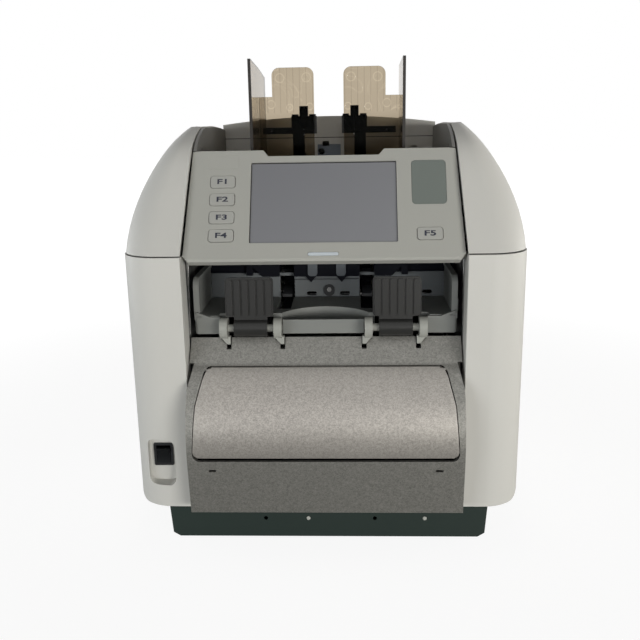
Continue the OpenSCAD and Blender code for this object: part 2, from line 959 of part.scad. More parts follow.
function skin(inset) = concat([for (j = [0 : rows]) each level(lift(j), inset)], ridge(inset));
function proper(tri) = tri[0] != tri[1] && tri[1] != tri[2] && tri[0] != tri[2];
function quad(a, b, c, d) = [for (tri = [[a, b, c], [a, c, d]]) if (proper(tri)) tri];

module upper_skin() {
    n = len(level(0, 0)) - 1;
    last = rows + 1;
    shift = (n + 1) * (rows + 2);
    o = [for (j = [0 : last]) [for (i = [0 : n])
            (n + 1) * (j == last && (i == 0 || i == n) ? rows : j) + i]];
    p = o + [for (j = [0 : last]) [for (i = [0 : n]) shift]];
    faces = concat(
        [for (j = [0 : rows], i = [0 : n - 1])
            each quad(o[j][i], o[j + 1][i], o[j + 1][i + 1], o[j][i + 1])],
        [for (j = [0 : rows], i = [0 : n - 1])
            each quad(p[j][i], p[j][i + 1], p[j + 1][i + 1], p[j + 1][i])],
        [for (i = [0 : n - 1]) each quad(o[0][i], o[0][i + 1], p[0][i + 1], p[0][i])],
        [for (i = [0 : n - 1]) each quad(o[last][i + 1], o[last][i], p[last][i], p[last][i + 1])],
        [for (j = [0 : rows]) each quad(o[j + 1][0], o[j][0], p[j][0], p[j + 1][0])],
        [for (j = [0 : rows]) each quad(o[j][n], o[j + 1][n], p[j + 1][n], p[j][n])]);
    polyhedron(points = concat(skin(0), skin(wall)), faces = faces);
}

module upper_cover_right() {
    color("#d3d1ca")
        upper_skin();
}

module upper_cover_left() {
    color("#d3d1ca")
        mirror([1, 0, 0])
            upper_skin();
}

// Panel frame: x across, y up the slope, z out of the face.
module on_panel() {
    translate([0, panel_y, panel_z])
        rotate([90 - panel_tilt, 0, 0])
            children();
}

module panel_outline(inset) {
    low = bay_half - 1.2 - inset;
    high = low - edge_lean * panel_h * cos(panel_tilt) / (top_z - seam_z);
    top = panel_h - inset;
    polygon([[-low + 4, -2.4 + inset], [low - 4, -2.4 + inset], [low, 2], [high, top], [46 + inset, top],
             [42 + inset, top - 5], [-42 - inset, top - 5], [-46 - inset, top], [-high, top], [-low, 2]]);
}

key_at = concat([for (i = [0 : 3]) [29.5 - bay_half, 61 - i * key_pitch]], [[bay_half - 26.9, 17.5]]);
badge_x = bay_half - 39.5;

module key_shape(p, grow, r) {
    w = key_w / 2 + grow;
    h = key_h / 2 + grow;
    rounded(p[0] - w, p[1] - h, p[0] + w, p[1] + h, r);
}

module control_panel() {
    plate = 3;
    color("#a0a198")
        on_panel()
            difference() {
                union() {
                    translate([0, 0, -plate])
                        linear_extrude(plate)
                            panel_outline(0);
                    translate([0, 0, -16])
                        linear_extrude(15)
                            difference() {
                                panel_outline(0);
                                panel_outline(2.4);
                            }
                }
                along_x(-120, 120)
                    polygon([[-0.8, 0], [-4.8, -4], [-4.8, 4], [-0.8, 4]]);
                box([-120, -10, -20], [120, 3, -8.5]);
                translate([0, 0, -20])
                    linear_extrude(40)
                        rounded(-window_w / 2, 44.25 - window_h / 2, window_w / 2, 44.25 + window_h / 2, 1);
                translate([0, 0, -plate - 1])
                    linear_extrude(plate - 0.6)
                        rounded(-58, 8.6, 58, 80, 1);
                for (p = key_at)
                    translate([0, 0, -20])
                        linear_extrude(40)
                            key_shape(p, key_gap, 2.6);
                translate([0, 0, -1.2])
                    linear_extrude(4)
                        rounded(badge_x, 41, badge_x + 26, 77, 3.2);
                translate([0, 0, -20])
                    linear_extrude(40)
                        rounded(-11.5, 1.1, 11.5, 4.1, 1.4);
                translate([29.5 - bay_half, 77.3, -0.15])
                    linear_extrude(2)
                        difference() {
                            rounded(-12, -5.9, 12, 5.9, 2.4);
                            rounded(-11.5, -5.4, 11.5, 5.4, 1.9);
                        }
                for (s = [-1, 1])
                    translate([s * (bay_half - 1.2), 0, 0])
                        rotate(s * atan(edge_lean * cos(panel_tilt) / (top_z - seam_z)))
                            along_y(-20, panel_h + 20)
                                polygon([[-5.5 * s, 0], [-5.5 * s, 1], [6 * s, 1], [6 * s, -2.7]]);
            }
}

// Display with its glass and the key board behind it.
module display_module() {
    color("#77787b")
        on_panel() {
            translate([0, 0, -3.6])
                linear_extrude(1.95)
                    rounded(-57.6, 9, 57.6, 79.6, 1);
            box([-56, 9.5, -9.4], [56, 79, -3.6]);
            box([-96, 4, -11], [96, 76, -9.4]);
        }
}

module light_lens() {
    color("#c9d4e0")
        on_panel() {
            translate([0, 0, -3])
                linear_extrude(2.9)
                    rounded(-11.3, 1.3, 11.3, 3.9, 1.2);
            box([-14, 0.2, -5], [14, 5, -3]);
        }
}

module badge_window() {
    color("#6f7a71")
        on_panel()
            translate([0, 0, -1.2])
                linear_extrude(1.1)
                    rounded(badge_x + 0.15, 41.15, badge_x + 25.85, 76.85, 3);
}

module key(i) {
    color("#a0a198")
        on_panel() {
            translate([0, 0, -4])
                linear_extrude(4.7)
                    key_shape(key_at[i], 0, 2.2);
            translate([0, 0, -4.4])
                linear_extrude(1.2)
                    key_shape(key_at[i], 1.4, 2.2);
            translate([key_at[i][0], key_at[i][1], key_travel - 9.2])
                cylinder(h = 5.8, r = 2);
        }
}

module key_f1() {
    key(0);
}

module key_f2() {
    key(1);
}

module key_f3() {
    key(2);
}

module key_f4() {
    key(3);
}

module key_f5() {
    key(4);
}

// Hopper tub: cheeks that also carry the feed shafts, note floor and guide shelf.
module hopper_frame() {
    rim = 0.8;
    cheek = concat([[-82, 241], [-82, 301.3]],
                   [for (t = [0.82 : 0.03 : 1]) [hood_front(t, rim), seam_z + (top_z - seam_z) * t - rim]],
                   [for (y = [-44 : 12 : 58]) [y, top_z - rim - sag(y)]], [[58, 241]]);
    color("#585a59") {
        for (s = [-1, 1])
            difference() {
                along_x(s * 98.6 - 1.2, s * 98.6 + 1.2)
                    polygon(cheek);
                for (p = [pick_at, feed_at])
                    rod_x(s * 98.6 - 5, s * 98.6 + 5, p[0], p[1], shaft_r + run_gap);
                rod_x(s * 98.6 - 5, s * 98.6 + 5, -72, 309, 1.5);
            }
        difference() {
            box([-97.4, -82, hopper_floor_z - 3], [97.4, 8, hopper_floor_z]);
            for (x = [-30, 30])
                box([x - 11.5, -46, 270], [x + 11.5, -14, 290]);
        }
        box([-97.4, -82, hopper_floor_z], [97.4, -79.6, 300]);
        difference() {
            box([-97.4, 16, shelf_z - 3], [97.4, hopper_back_y, shelf_z]);
            box([guide_mid - 64, pinion_y - 13.2, 280], [guide_mid - 15, pinion_y - 8.8, 300]);
            box([guide_mid + 15, pinion_y + 8.8, 280], [guide_mid + 64, pinion_y + 13.2, 300]);
        }
        translate([guide_mid, pinion_y, shelf_z - 13])
            cylinder(h = 11, r = 2);
    }
}

module arch_shape(inset) {
    rise = 6.5;
    r = (99.5 * 99.5 + rise * rise) / (2 * rise);
    intersection() {
        translate([0, 332.5 - r])
            circle(r - inset);
        square_xz(-100 + inset, 200, 100 - inset, 400);
    }
}

// Arched top cover; its front wall is the back of the hopper.
module top_cover() {
    y0 = hopper_back_y;
    color("#6b6e6b")
        difference() {
            intersection() {
                along_x(-120, 120)
                    polygon([[y0, 237], [y0, 340], [122, 340], [146, 316], [body_rear, 300],
                             [body_rear, 237]]);
                along_y(0, 200)
                    arch_shape(0);
            }
            intersection() {
                along_x(-120, 120)
                    polygon([[y0 + wall, 200], [y0 + wall, 337], [121, 337], [143.3, 314.6],
                             [body_rear - wall, 299.5], [body_rear - wall, 200]]);
                along_y(0, 200)
                    arch_shape(wall);
            }
            box([-98, y0 - 5, 200], [98, y0 + wall + 1, shelf_z + 1]);
            box([-120, y0 - 1, 312.7], [120, y0 + 0.5, 313.3]);
            box([-10.8, y0 - 1, 296], [11.2, y0 + 1.2, 306.7]);
            box([-6.1, y0 - 1, 305.1], [0.3, y0 + 5, 309.6]);
            rod_y(y0 - 1, y0 + 5, -7.2, 300, 3);
            box([77.6, y0 - 1, 302.8], [83.2, y0 + 5, 304.6]);
            for (x = [-40 : 10 : 40])
                along_y(140, 160)
                    rounded(x - 2, 262, x + 2, 290, 1.9);
        }
}

// Clear note guide: side wall and a rounded tongue; reach extends the wall to the rear.
module note_guide(reach) {
    difference() {
        union() {
            along_x(guide_half - guide_t / 2, guide_half + guide_t / 2) {
                polygon([[-55, guide_foot], [-55, guide_top], [1.2, guide_top - 4.2], [1.2, guide_foot]]);
                if (reach > 0)
                    polygon([[0, guide_foot + 13], [0, guide_top - 4.1], [reach, guide_top - 10],
                             [reach, guide_foot + 13]]);
            }
            along_y(-guide_t / 2, guide_t / 2) {
                rounded(tongue_in, guide_foot + 0.17 * guide_h, 49, guide_top - 4.4, 6.5);
                square_xz(tongue_in, guide_foot, guide_half, guide_foot + 0.383 * guide_h);
                square_xz(40, guide_foot + 0.17 * guide_h, guide_half, guide_foot + 0.697 * guide_h);
            }
            for (i = [0 : 4])
                along_y(-guide_t / 2 - 0.7, 0)
                    square_xz(tongue_in + 6 + i * 5.6, guide_foot + 0.65 * guide_h, tongue_in + 6.9 + i * 5.6,
                              guide_foot + 0.894 * guide_h);
        }
        for (p = [[22, 317.5], [22, 322], [50, 321]])
            rod_y(-5, 5, p[0], p[1], 0.8);
    }
}

module guide_left() {
    color("#b8a988")
        translate([guide_mid, 0, 0])
            mirror([1, 0, 0])
                note_guide(52);
}

module guide_right() {
    color("#b8a988")
        translate([guide_mid, 0, 0])
            note_guide(0);
}

rack_z = shelf_z - 11;
function tooth_half(r) =
    let (base = pinion_r * cos(20), a = acos(min(1, base / r)))
    90 / pinion_teeth - tooth_play / 4 / pinion_r * 180 / PI + (tan(20) - tan(a)) * 180 / PI - 20 + a;

module pinion_shape() {
    root = pinion_r - 1.25 * rack_module;
    base = pinion_r * cos(20);
    tip = pinion_r + 0.9 * rack_module;
    circle(root);
    for (i = [0 : pinion_teeth - 1])
        rotate(i * 360 / pinion_teeth)
            polygon(concat([(root - 0.4) * [cos(tooth_half(base)), -sin(tooth_half(base))]],
                           [for (k = [0 : 4]) let (r = base + (tip - base) * k / 4)
                               r * [cos(tooth_half(r)), -sin(tooth_half(r))]],
                           [for (k = [4 : -1 : 0]) let (r = base + (tip - base) * k / 4)
                               r * [cos(tooth_half(r)), sin(tooth_half(r))]],
                           [(root - 0.4) * [cos(tooth_half(base)), sin(tooth_half(base))]]));
}

module guide_pinion() {
    color("#b4b3aa")
        translate([guide_mid, pinion_y, rack_z])
            linear_extrude(6)
                difference() {
                    pinion_shape();
                    circle(2 + run_gap);
                }
}

// Toothed bar; the pitch line is y = 0 and the teeth point to +Y.
module rack_shape(x0, x1) {
    pitch = PI * rack_module;
    half = pitch / 4 - tooth_play / 4;
    tip = 0.9 * rack_module;
    root = 1.3 * rack_module;
    first = ceil((x0 + pitch / 2) / pitch);
    translate([x0, -root - 3])
        square([x1 - x0, 3]);
    for (i = [first : floor((x1 - pitch) / pitch)])
        translate([(i + 0.5) * pitch, 0])
            polygon([[-half - root * tan(20), -root - 0.3], [-half - root * tan(20), -root],
                     [-half + tip * tan(20), tip], [half - tip * tan(20), tip],
                     [half + root * tan(20), -root], [half + root * tan(20), -root - 0.3]]);
}

// Slider behind a guide: tabbed block, bar, arm over the shelf, foot and rack.
// Drawn for the left guide; arm_y is the line of the foot.
module carriage(arm_y) {
    back = guide_t / 2;
    along_y(back, back + 10) {
        square_xz(-33, 318, -11, 333);
        square_xz(-58, 318, -11, 323.5);
        square_xz(-25.8, 333, -18.6, 341.5);
        square_xz(-32.6, 333, -27, 334.6);
        square_xz(-17.4, 333, -11.8, 334.6);
    }
    box([-32, back, shelf_z + 2], [-22, back + 10, 320]);
    box([-32, back, shelf_z + 2], [-22, arm_y + 1.6, shelf_z + 6]);
    box([-32, arm_y - 1.6, rack_z], [-22, arm_y + 1.6, shelf_z + 4]);
}

module carriage_left() {
    color("#17181a")
        translate([guide_mid, 0, 0]) {
            carriage(pinion_y - pinion_r - 3);
            translate([0, pinion_y - pinion_r, rack_z])
                linear_extrude(6)
                    rack_shape(-34, 39);
        }
}

module carriage_right() {
    color("#17181a")
        translate([guide_mid, 0, 0]) {
            mirror([1, 0, 0])
                carriage(pinion_y + pinion_r + 3);
            translate([0, pinion_y + pinion_r, rack_z])
                rotate(180)
                    linear_extrude(6)
                        rack_shape(-34, 39);
        }
}

feed_belt_x = 86;

module feed_set(at, r) {
    rod_x(-102, 102, at[0], at[1], shaft_r);
    for (x = [-30, 30])
        rod_x(x - 10, x + 10, at[0], at[1], r);
    pulley(feed_belt_x, at, 10);
}

module pickup_roller() {
    color("#303234")
        feed_set(pick_at, 18);
}

module feed_roller() {
    color("#303234")
        feed_set(feed_at, 16);
}

module feed_belt() {
    belt(feed_belt_x, pick_at, 10, feed_at, 10);
}

module feed_motor() {
    color("#4a4d50")
        difference() {
            union() {
                rod_x(-97.4, -62, feed_at[0], feed_at[1], 15);
                box([-97.4, 14, 243], [-95.4, 56, 279]);
            }
            rod_x(-110, -50, feed_at[0], feed_at[1], shaft_r + run_gap);
        }
}

base_pan();
rubber_feet();
side_frame_left();
side_frame_right();
tie_bars();
lower_cover_left();
lower_cover_right();
rear_cover();
front_cover();
reject_bin();
reject_door();
stacker_tray();
stacker_back();
stacker_beam();
hinge_lugs();
paddle_axles();
paddle_left();
paddle_right();
stacker_shaft();
stacker_wheels();
transport_roller_a();
transport_roller_b();
drive_motor();
motor_pulley();
drive_belt();
transport_belt();
stacker_belt();
main_board();
power_supply();
fan_frame();
fan_rotor();
power_inlet();
data_ports();
switch_frame();
switch_rocker();
lower_hinge();
upper_hinge();
hinge_pins();
upper_cover_left();
upper_cover_right();
control_panel();
display_module();
light_lens();
badge_window();
key_f1();
key_f2();
key_f3();
key_f4();
key_f5();
hopper_frame();
top_cover();
guide_left();
guide_right();
carriage_left();
carriage_right();
guide_pinion();
pickup_roller();
feed_roller();
feed_belt();
feed_motor();
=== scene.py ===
import json
import bpy
from math import cos, radians, sin
from mathutils import Matrix, Vector

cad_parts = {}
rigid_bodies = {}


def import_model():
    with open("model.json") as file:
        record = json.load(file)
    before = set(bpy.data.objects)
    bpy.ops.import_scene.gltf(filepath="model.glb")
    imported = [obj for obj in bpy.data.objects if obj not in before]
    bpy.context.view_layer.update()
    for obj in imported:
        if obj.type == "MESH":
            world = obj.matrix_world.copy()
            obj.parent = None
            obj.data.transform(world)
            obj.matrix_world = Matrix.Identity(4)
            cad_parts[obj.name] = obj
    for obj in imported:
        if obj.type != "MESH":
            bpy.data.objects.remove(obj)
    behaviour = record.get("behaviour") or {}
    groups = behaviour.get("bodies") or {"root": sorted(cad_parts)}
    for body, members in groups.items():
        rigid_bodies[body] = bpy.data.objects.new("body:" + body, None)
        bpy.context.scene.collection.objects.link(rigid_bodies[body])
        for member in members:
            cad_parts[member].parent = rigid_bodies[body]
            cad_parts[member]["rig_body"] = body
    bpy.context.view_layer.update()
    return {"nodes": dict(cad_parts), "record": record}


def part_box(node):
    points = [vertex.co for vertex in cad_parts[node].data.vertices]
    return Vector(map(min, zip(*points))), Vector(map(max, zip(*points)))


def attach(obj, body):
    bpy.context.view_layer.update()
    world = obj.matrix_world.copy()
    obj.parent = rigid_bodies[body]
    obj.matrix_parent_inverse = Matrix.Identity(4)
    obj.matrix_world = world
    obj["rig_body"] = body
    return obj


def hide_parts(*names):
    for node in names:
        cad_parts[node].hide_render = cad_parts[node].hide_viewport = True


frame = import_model()
mm = 0.001


# Base pan: a tray under the whole machine, pressed and folded from steel sheet and sprayed with
# a dark green-grey powder coat. Screws hold it to the side frames from the front and from below.
class Level:
    """A number on its way through a material: the operators add its Math nodes."""

    def __init__(self, tree, out):
        self.tree, self.out = tree, out

    def step(self, operation, *terms):
        node = self.tree.nodes.new("ShaderNodeMath")
        node.operation = operation
        for plug, term in zip(node.inputs, terms):
            if isinstance(term, Level):
                self.tree.links.new(term.out, plug)
            else:
                plug.default_value = term
        return Level(self.tree, node.outputs[0])

    def __add__(self, other):
        return self.step("ADD", self, other)

    def __radd__(self, other):
        return self.step("ADD", other, self)

    def __sub__(self, other):
        return self.step("SUBTRACT", self, other)

    def __rsub__(self, other):
        return self.step("SUBTRACT", other, self)

    def __mul__(self, other):
        return self.step("MULTIPLY", self, other)

    def __rmul__(self, other):
        return self.step("MULTIPLY", other, self)

    def __truediv__(self, other):
        return self.step("DIVIDE", self, other)

    def above(self, edge):
        return self.step("GREATER_THAN", self, edge)

    def below(self, edge):
        return self.step("LESS_THAN", self, edge)

    def most(self, other):
        return self.step("MAXIMUM", self, other)

    def unsigned(self):
        return self.step("ABSOLUTE", self)

    def zigzag(self, half_pitch):
        return self.step("PINGPONG", self, half_pitch)


class Finish:
    """One surface finish: a material whose shader is fed by the nodes that it is given."""

    def __init__(self, name, **fixed):
        self.material = bpy.data.materials.new(name)
        self.material.use_nodes = True
        self.tree = self.material.node_tree
        self.shader = self.tree.nodes["Principled BSDF"]
        for plug, value in fixed.items():
            self.shader.inputs[plug.replace("_", " ")].default_value = value

    def add(self, kind, out=0, settings=None, **plugs):
        """Adds a node. A plug is named in words, or as _0, _1 and so on by its place."""
        node = self.tree.nodes.new("ShaderNode" + kind)
        for key, value in (settings or {}).items():
            setattr(node, key, value)
        for key, value in plugs.items():
            plug = node.inputs[int(key[1:]) if key[0] == "_" else key.replace("_", " ")]
            if isinstance(value, Level):
                self.tree.links.new(value.out, plug)
            else:
                plug.default_value = value
        return Level(self.tree, node.outputs[out])

    def place(self):
        return self.add("TexCoord", "Object")

    def noise(self, here, scale, detail, **plugs):
        return self.add("TexNoise", Vector=here, Scale=scale, Detail=detail, **plugs)

    def flakes(self, here, scale):
        """A grey of its own for each small cell."""
        return self.add("SeparateColor", Color=self.add("TexVoronoi", 1, Vector=here, Scale=scale))

    def ramp(self, value, start, end, low, high):
        """Runs softly from low to high while the value goes from start to end."""
        soft = {"interpolation_type": "SMOOTHSTEP"}
        return self.add("MapRange", 0, soft, Value=value, _1=start, _2=end, _3=low, _4=high)

    def blend(self, how_far, a, b):
        return self.add("Mix", 2, {"data_type": "RGBA"}, _0=how_far, _6=a, _7=b)

    def shades(self, level, colour):
        """The colour at level 0.5, half as bright at 0 and half as bright again at 1."""
        darker = (*[v * 0.5 for v in colour[:3]], 1.0)
        lighter = (*[min(1.0, v * 1.5) for v in colour[:3]], 1.0)
        return self.blend(level, darker, lighter)

    def bump(self, height, strength, depth):
        return self.add("Bump", Height=height, Strength=strength, Distance=depth * mm)

    def feed(self, **plugs):
        for key, value in plugs.items():
            self.tree.links.new(value.out, self.shader.inputs[key.replace("_", " ")])


def srgb(r, g, b):
    """A colour read as 0 to 255 on a screen, as the shader takes it."""
    line = [v / 3294.6 if v <= 10 else ((v / 255 + 0.055) / 1.055) ** 2.4 for v in (r, g, b)]
    return (*line, 1.0)


def mottled(name, colour, shine=0.35, metal=0.0, spread=0.02, speckle=0.03, rough=0.5,
            grain=0.02, size=0.8):
    """A moulded or sprayed skin: slow cloudiness, fine speckle and a grain that is felt as a bump.

    The grain's depth and the speckle's size are in mm.
    """
    finish = Finish(name, Specular_IOR_Level=shine, Metallic=metal)
    cloud_scale, rough_swing = 14.0, 0.16
    here = finish.place()
    cloud = finish.noise(here, cloud_scale, 3.0, Roughness=0.55)
    spark = finish.noise(here, 1.0 / (size * mm), 2.0, Roughness=0.6)
    level = cloud * (2 * spread) + spark * (2 * speckle) + (0.5 - spread - speckle)
    finish.feed(Base_Color=finish.shades(level, colour))
    finish.feed(Roughness=rough - rough_swing / 2 + rough_swing * spark)
    finish.feed(Normal=finish.bump(spark, 0.6, grain))
    return finish


def placed(piece, finish, body, slot, *replaced):
    """Gives a finished piece its material and its body, and hides the nodes that it stands for.
    The slot is not used.
    """
    piece.data.materials.clear()
    piece.data.materials.append(finish.material)
    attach(piece, body)
    if replaced:
        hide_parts(*replaced)


def slot_of(node):
    return next(p["material_slot"] for p in frame["record"]["subparts"] if p["node"] == node)


def softened(node, finish, edge=0.0, angle=32, steps=2):
    """The node's own shape with its edges eased, in mm, as a mould or a press leaves them."""
    weld, flat_within, smooth_beyond = 0.01, 0.6, 6
    source = frame["nodes"][node]
    bpy.ops.object.select_all(action="DESELECT")
    piece = bpy.data.objects.new(node + "_skin", source.data.copy())
    bpy.context.scene.collection.objects.link(piece)
    piece.select_set(True)
    bpy.context.view_layer.objects.active = piece
    bpy.ops.object.mode_set(mode="EDIT")
    bpy.ops.mesh.select_all(action="SELECT")
    bpy.ops.mesh.customdata_custom_splitnormals_clear()
    bpy.ops.mesh.remove_doubles(threshold=weld * mm)
    bpy.ops.mesh.dissolve_limited(angle_limit=radians(flat_within))
    bpy.ops.object.mode_set(mode="OBJECT")
    if edge:
        rim = piece.modifiers.new("rim", "BEVEL")
        rim.width, rim.segments = edge * mm, steps
        rim.limit_method, rim.angle_limit = "ANGLE", radians(angle)
        rim.use_clamp_overlap = True
        bpy.ops.object.modifier_apply(modifier="rim")
    bpy.ops.object.shade_smooth_by_angle(angle=radians(angle + smooth_beyond))
    flat = piece.modifiers.new("flat", "WEIGHTED_NORMAL")
    flat.keep_sharp = True
    bpy.ops.object.modifier_apply(modifier="flat")
    placed(piece, finish, source["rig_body"], slot_of(node), node)
    return piece


powder_coat = mottled("powder_coat", srgb(33, 45, 41), shine=0.4, spread=0.05, speckle=0.06,
                      rough=0.55, grain=0.04, size=1.2)
softened("base_pan", powder_coat, edge=0.8)

# Rivets: two pale nylon push rivets with eased heads, moulded and pressed into holes in the
# front of the base pan, one left of its middle and one at its right.
pale_nylon = mottled("pale_nylon", srgb(176, 177, 171), shine=0.4, rough=0.42)
base_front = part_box("base_pan")[0][1] / mm
rivet_places, rivet_z, rivet_sunk = (-15.5, 78.0), 18.5, 1.0
crease = radians(40)


def turned(name, place, radius, depth, edge, finish, slot):
    """A short disc with an eased rim, in mm, that faces the front with its middle at place."""
    bpy.ops.object.select_all(action="DESELECT")
    bpy.ops.mesh.primitive_cylinder_add(vertices=48, radius=radius * mm, depth=depth * mm)
    piece = bpy.context.active_object
    piece.name = name
    rim = piece.modifiers.new("rim", "BEVEL")
    rim.width, rim.segments, rim.limit_method = edge * mm, 3, "ANGLE"
    bpy.ops.object.modifier_apply(modifier="rim")
    piece.rotation_euler = Vector((0.0, -1.0, 0.0)).to_track_quat("Z", "Y").to_euler()
    piece.location = Vector(place) * mm
    bpy.ops.object.transform_apply(location=True, rotation=True, scale=True)
    bpy.ops.object.shade_smooth_by_angle(angle=crease)
    placed(piece, finish, "chassis", slot)


for i, x in enumerate(rivet_places):
    turned(f"base_rivet_{i}", (x, base_front + rivet_sunk, rivet_z), radius=1.65, depth=3.0,
           edge=0.5, finish=pale_nylon, slot="pale_plastic")

# Feet: four buttons of soft black rubber under the corners of the base pan, each moulded in one
# piece with the stem that holds it in its hole.
foot_rubber = mottled("foot_rubber", srgb(34, 34, 34), shine=0.5, spread=0.05, speckle=0.08,
                      rough=0.8, grain=0.05)
softened("rubber_feet", foot_rubber, edge=0.8)

# Side frames, tie bars and rear hinge: zinc plated steel sheet and turned bars that carry every
# shaft, punched, drilled and screwed together into one stiff box.
zinc_plate = Finish("zinc_plate", Metallic=0.9)
spangle_scale = 160.0
spangle = zinc_plate.flakes(zinc_plate.place(), spangle_scale)
zinc_plate.feed(Base_Color=zinc_plate.blend(spangle, srgb(150, 151, 150), srgb(176, 176, 173)))
zinc_plate.feed(Roughness=0.34 + 0.12 * spangle)
for plate in ("side_frame_left", "side_frame_right", "tie_bars", "lower_hinge", "upper_hinge"):
    softened(plate, zinc_plate, edge=0.25)

# Ground steel: the hinge pins and the stacker's shaft, turned from bar and ground bright, with
# fine marks round them. They are held in reamed holes of the sheet frames.
ground_steel = Finish("ground_steel", Metallic=1.0)
marks_along, marks_across = 2500.0, 60.0
stretched = ground_steel.add("Mapping", Vector=ground_steel.place(),
                             Scale=(marks_along, marks_across, marks_across))
lines = ground_steel.add("TexNoise", Vector=stretched, Scale=1.0)
ground_steel.feed(Base_Color=ground_steel.blend(lines, srgb(165, 165, 163), srgb(198, 198, 196)))
ground_steel.feed(Roughness=0.16 + 0.16 * lines)
for bar in ("hinge_pins", "stacker_shaft"):
    softened(bar, ground_steel, edge=0.25)

# Lower covers: two large side mouldings in light grey plastic with a fine spark texture,
# hooked to the base and screwed to the side frames from inside.
cover_skin = mottled("cover_skin", srgb(206, 205, 200), spread=0.012, speckle=0.012, grain=0.012)
for cover in ("lower_cover_left", "lower_cover_right"):
    softened(cover, cover_skin, edge=1.0, angle=40, steps=3)

# Seam lips: a strip of black plastic inside the top of each lower cover, bent round its corners
# and fixed to its wall by a flange. It stands up behind the seam, so that no light shows there.
black_moulding = mottled("black_moulding", srgb(30, 31, 33), shine=0.4, spread=0.05,
                         speckle=0.06, rough=0.45)
lip_low, lip_seam, lip_top = 226.0, 233.0, 238.0
lip_in, lip_out, lip_front, lip_rear = 106.9, 146.8, -136.8, 143.8
front_round, rear_round, round_steps = 23.8, 15.8, 8
lip_thick, flange, near, upright = 1.4, 2.5, 0.5, 0.5


def chosen(piece, kind, keep):
    """Selects, in edit mode, the corners, edges or faces whose middle, in mm, keep says yes to."""
    bpy.ops.mesh.select_mode(type=kind)
    bpy.ops.mesh.select_all(action="DESELECT")
    bpy.ops.object.mode_set(mode="OBJECT")
    mesh = piece.data
    spots = [v.co / mm for v in mesh.vertices]
    for part in {"VERT": mesh.vertices, "EDGE": mesh.edges, "FACE": mesh.polygons}[kind]:
        ends = [part.index] if kind == "VERT" else list(part.vertices)
        middle_of_part = sum((spots[i] for i in ends), Vector()) / len(ends)
        part.select = keep(middle_of_part, getattr(part, "normal", None))
    bpy.ops.object.mode_set(mode="EDIT")


for side, name in ((-1.0, "seam_lip_left"), (1.0, "seam_lip_right")):
    lip_middle = Vector((side * (lip_in + lip_out) / 2, (lip_front + lip_rear) / 2, lip_low))
    bpy.ops.object.select_all(action="DESELECT")
    bpy.ops.mesh.primitive_plane_add(size=mm)
    lip = bpy.context.active_object
    lip.name = name
    lip.scale = (lip_out - lip_in, lip_rear - lip_front, 1.0)
    lip.location = lip_middle * mm
    bpy.ops.object.transform_apply(location=True, rotation=True, scale=True)
    bpy.ops.object.mode_set(mode="EDIT")
    chosen(lip, "VERT", lambda at, way: abs(at.x) > lip_in + near and at.y < 0.0)
    bpy.ops.mesh.bevel(offset=front_round * mm, segments=round_steps, affect="VERTICES")
    chosen(lip, "VERT", lambda at, way: abs(at.x) > lip_in + near and at.y > lip_rear - near)
    bpy.ops.mesh.bevel(offset=rear_round * mm, segments=round_steps, affect="VERTICES")
    bpy.ops.mesh.select_all(action="SELECT")
    bpy.ops.mesh.delete(type="ONLY_FACE")
    chosen(lip, "EDGE", lambda at, way: abs(at.x) < lip_in + near)
    bpy.ops.mesh.delete(type="EDGE")
    bpy.ops.mesh.select_all(action="SELECT")
    rise = (0.0, 0.0, (lip_top - lip_low) * mm)
    bpy.ops.mesh.extrude_edges_move(TRANSFORM_OT_translate={"value": rise})
    bpy.ops.object.mode_set(mode="OBJECT")
    skin = lip.modifiers.new("skin", "SOLIDIFY")
    skin.thickness, skin.offset = lip_thick * mm, 0.0
    bpy.ops.object.modifier_apply(modifier="skin")
    bpy.ops.object.mode_set(mode="EDIT")
    bpy.ops.mesh.select_all(action="SELECT")
    bpy.ops.mesh.normals_make_consistent(inside=False)
    bpy.ops.mesh.bisect(plane_co=(0.0, 0.0, lip_seam * mm), plane_no=(0.0, 0.0, 1.0))
    level_middle = Vector((lip_middle.x, lip_middle.y, 0.0))
    chosen(lip, "FACE", lambda at, way: at.z < lip_seam and abs(way.z) < upright
           and abs(at.x) > lip_in + near and way.dot(at - level_middle) > 0.0)
    bpy.ops.mesh.extrude_region_shrink_fatten(TRANSFORM_OT_shrink_fatten={"value": flange * mm})
    bpy.ops.object.mode_set(mode="OBJECT")
    placed(lip, black_moulding, "chassis", "black_plastic")

# Rear cover: a plain moulded plate with vents for the fan and the electronics, screwed to the
# frames. Strips of black foam are stuck inside it: a dust filter over the vents, and seals at
# its top and bottom edges.
softened("rear_cover", cover_skin, edge=0.5)
foam = mottled("foam", srgb(22, 22, 23), shine=0.1, spread=0.06, speckle=0.3, rough=0.9,
               grain=0.4, size=1.4)
foam_edge = 0.6


def foam_strip(name, body, low, high):
    """A strip of foam with eased edges between two corners, in mm."""
    bpy.ops.object.select_all(action="DESELECT")
    bpy.ops.mesh.primitive_cube_add(size=mm)
    strip = bpy.context.active_object
    strip.name = name
    strip.scale = Vector(high) - Vector(low)
    strip.location = (Vector(high) + Vector(low)) / 2 * mm
    bpy.ops.object.transform_apply(location=True, rotation=True, scale=True)
    rim = strip.modifiers.new("rim", "BEVEL")
    rim.width, rim.segments = foam_edge * mm, 3
    bpy.ops.object.modifier_apply(modifier="rim")
    bpy.ops.object.shade_smooth_by_angle(angle=crease)
    placed(strip, foam, body, "black_plastic")


rear_wall = 3.1
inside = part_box("rear_cover")[1][1] / mm - rear_wall
filter_half, seal_half = 91.0, 104.5
for strip, half, thick, low, high in (("rear_filter", filter_half, 2.4, 148.0, 211.0),
                                      ("rear_seal", seal_half, 2.4, 213.0, 236.6),
                                      ("base_seal", seal_half, 1.7, 34.0, 42.0)):
    foam_strip(strip, "chassis", (-half, inside - thick, low), (half, inside, high))


